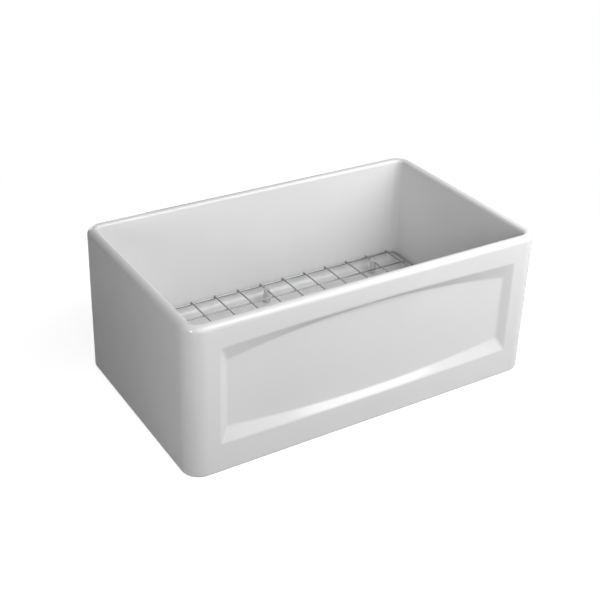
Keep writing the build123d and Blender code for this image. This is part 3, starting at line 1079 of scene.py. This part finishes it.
def make_strainer_cup(material):
    """The drawn cup and its flange, with the outlet turned down for its thread, and the thread."""
    low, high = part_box("strainer_cup")
    flange_edge = high.x / MM
    flange_top = high.z / MM
    flange_low = flange_top - flange_fall - flange_sheet
    outlet_end = low.z / MM
    outlet_radius = outlet_bore + outlet_wall
    thread_root = outlet_radius - thread_depth
    thread_end = outlet_end + thread_start + thread_turns * thread_pitch
    cup = turned("strainer_cup_turned", rounded_outline([
        (cup_bore, flange_top, shoulder_round),
        (cup_bore, cone_top, cone_round),
        (outlet_bore, cone_low, cone_round),
        (outlet_bore, outlet_end, 0.6),
        (thread_root, outlet_end, 0.8),
        (thread_root, thread_end, 0.4),
        (outlet_radius, thread_end, 0.4),
        (outlet_radius, outlet_top, 0.6),
        (cup_outside, nut_low, 0.8),
        (cup_outside, flange_low, 0.4),
        (flange_edge, flange_low, 0.5),
        (flange_edge, flange_low + flange_sheet, 0.7),
    ]), material)
    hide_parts("strainer_cup")
    sizes = {
        "Root radius": thread_root * MM,
        "Depth": thread_depth * MM,
        "Pitch": thread_pitch * MM,
        "Turns": thread_turns,
        "Steps": thread_steps,
        "Start": (outlet_end + thread_start) * MM,
    }
    return cup, grown("outlet_thread", [(0, 0, 0)], [], thread_tree(material), sizes, material)


def make_strainer(material):
    """The strainer's fixed parts, and the basket that lifts out. The bare post stays the CAD one."""
    for body, parts in edge_rounds.items():
        for node, edge_round in parts.items():
            piece = with_rounded_edges(node, edge_round)
            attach(piece, body)
    for piece in make_strainer_cup(material):
        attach(piece, "sink")


# --- Floor and lights ------------------------------------------------------------------------
floor_half_size = 30.0
floor_paint = "#F4F4F4"
floor_bounce = "#828282"  # the paint as other rays meet it: darker, to throw less light back up
floor_lift = 0.72         # light that is added to the floor for the camera
mirrored_lift = 0.1       # and for mirrored rays
floor_near = 0.6          # from here to floor_far the floor runs to plain white
floor_far = 1.2
world_light = 0.1
lamp_aim_height = 0.15
lamps = [                 # name, azimuth and elevation in degrees, distance, size, watts
    ("key_soft_box", 45, 40, 1.4, 1.4, 18.4),
    ("front_soft_box", 0, 40, 2.4, 1.8, 16.6),
    ("left_fill", -60, 15, 1.3, 0.25, 2.7),
    ("rear_fill", 180, 12, 2.4, 1.2, 10.0),
]


def kinds_of_ray(tree):
    """The camera's own rays, those mirrored in the glaze or the metal, and both together."""
    path = add_node(tree, "ShaderNodeLightPath").outputs
    camera = path["Is Camera Ray"]
    mirrored = add_node(
        tree, "ShaderNodeMath", {0: path["Is Glossy Ray"], 1: path["Is Transmission Ray"]},
        operation="MAXIMUM",
    )
    seen = add_node(tree, "ShaderNodeMath", {0: camera, 1: mirrored}, operation="MAXIMUM")
    return camera, mirrored, seen


def make_floor():
    """A plain pale floor that keeps the sink's shadow faintly and throws little light back up.

    To the camera it is lifted to white, and it runs to plain white away from the sink. What is
    mirrored in the glaze and the metal is the same pale floor with less of that lift.
    """
    material, tree, place = new_material("studio_floor")
    camera, mirrored, seen = kinds_of_ray(tree)
    colour = add_node(
        tree, "ShaderNodeMix",
        {"Factor": seen, first_colour: srgb(floor_bounce), second_colour: srgb(floor_paint)},
        data_type="RGBA",
    )
    paint = add_node(tree, "ShaderNodeBsdfDiffuse", {"Color": colour.outputs[mixed_colour]})
    in_mirrors = add_node(
        tree, "ShaderNodeMath", {0: mirrored, 1: mirrored_lift}, operation="MULTIPLY"
    )
    lift = add_node(
        tree, "ShaderNodeMath", {0: camera, 1: floor_lift, 2: in_mirrors}, operation="MULTIPLY_ADD"
    )
    glow = add_node(tree, "ShaderNodeEmission", {"Strength": lift})
    lit = add_node(tree, "ShaderNodeAddShader", {0: paint, 1: glow})
    away = add_node(tree, "ShaderNodeVectorMath", {0: place}, operation="LENGTH")
    far = add_node(
        tree, "ShaderNodeMapRange",
        {"Value": away.outputs["Value"], "From Min": floor_near, "From Max": floor_far},
        interpolation_type="SMOOTHSTEP",
    )
    far_seen = add_node(tree, "ShaderNodeMath", {0: far, 1: camera}, operation="MULTIPLY")
    white = add_node(tree, "ShaderNodeEmission", {"Strength": 1.0})
    mix = add_node(tree, "ShaderNodeMixShader", {0: far_seen, 1: lit, 2: white})
    add_node(tree, "ShaderNodeOutputMaterial", {"Surface": mix})
    corners = [
        (x * floor_half_size, y * floor_half_size, 0) for x, y in ((-1, -1), (1, -1), (1, 1), (-1, 1))
    ]
    floor = mesh_object("studio_floor", corners, [(0, 1, 2, 3)], material)


def make_world():
    """Pale grey to the camera and in mirrored rays; otherwise a little light from all round."""
    world = bpy.data.worlds.new("studio")
    bpy.context.scene.world = world
    world.use_nodes = True
    tree = world.node_tree
    tree.nodes.clear()
    seen = kinds_of_ray(tree)[-1]
    strength = add_node(
        tree, "ShaderNodeMapRange", {"Value": seen, "To Min": world_light, "To Max": 1.0}
    )
    background = add_node(tree, "ShaderNodeBackground", {"Strength": strength})
    add_node(tree, "ShaderNodeOutputWorld", {"Surface": background})


def make_lamp(name, azimuth, elevation, distance, size, power):
    """A soft box turned to the sink. Its azimuth is counted from the apron's front to the right."""
    around, up = radians(azimuth), radians(elevation)
    away = Vector((sin(around) * cos(up), -cos(around) * cos(up), sin(up)))
    lamp = bpy.data.objects.new(name, bpy.data.lights.new(name, "AREA"))
    bpy.context.scene.collection.objects.link(lamp)
    lamp.data.size = size
    lamp.data.energy = power
    stand = Matrix.Translation(Vector((0, 0, lamp_aim_height)) + away * distance)
    lamp.matrix_world = stand @ away.to_track_quat("Z", "Y").to_matrix().to_4x4()


# --- The scene -------------------------------------------------------------------------------
bpy.context.scene.view_settings.view_transform = "Standard"
make_camera()
make_world()
make_floor()
for lamp in lamps:
    make_lamp(*lamp)

finishes = {
    "fireclay": glazed_fireclay(),
    "rack_wire": drawn_wire(),
    "clear_rubber": moulded_silicone(),
    "stainless": spun_stainless(),
    "black_rubber": moulded_rubber(),
    "fibre": pressed_fibre(),
    "zinc": tumbled_zinc(),
    "brass": turned_brass(),
}
for node, slot_name in slot_of.items():
    nodes[node].material_slots[0].material = finishes[slot_name]
make_casting(finishes["fireclay"])
make_rack(finishes["rack_wire"])
make_strainer(finishes["stainless"])
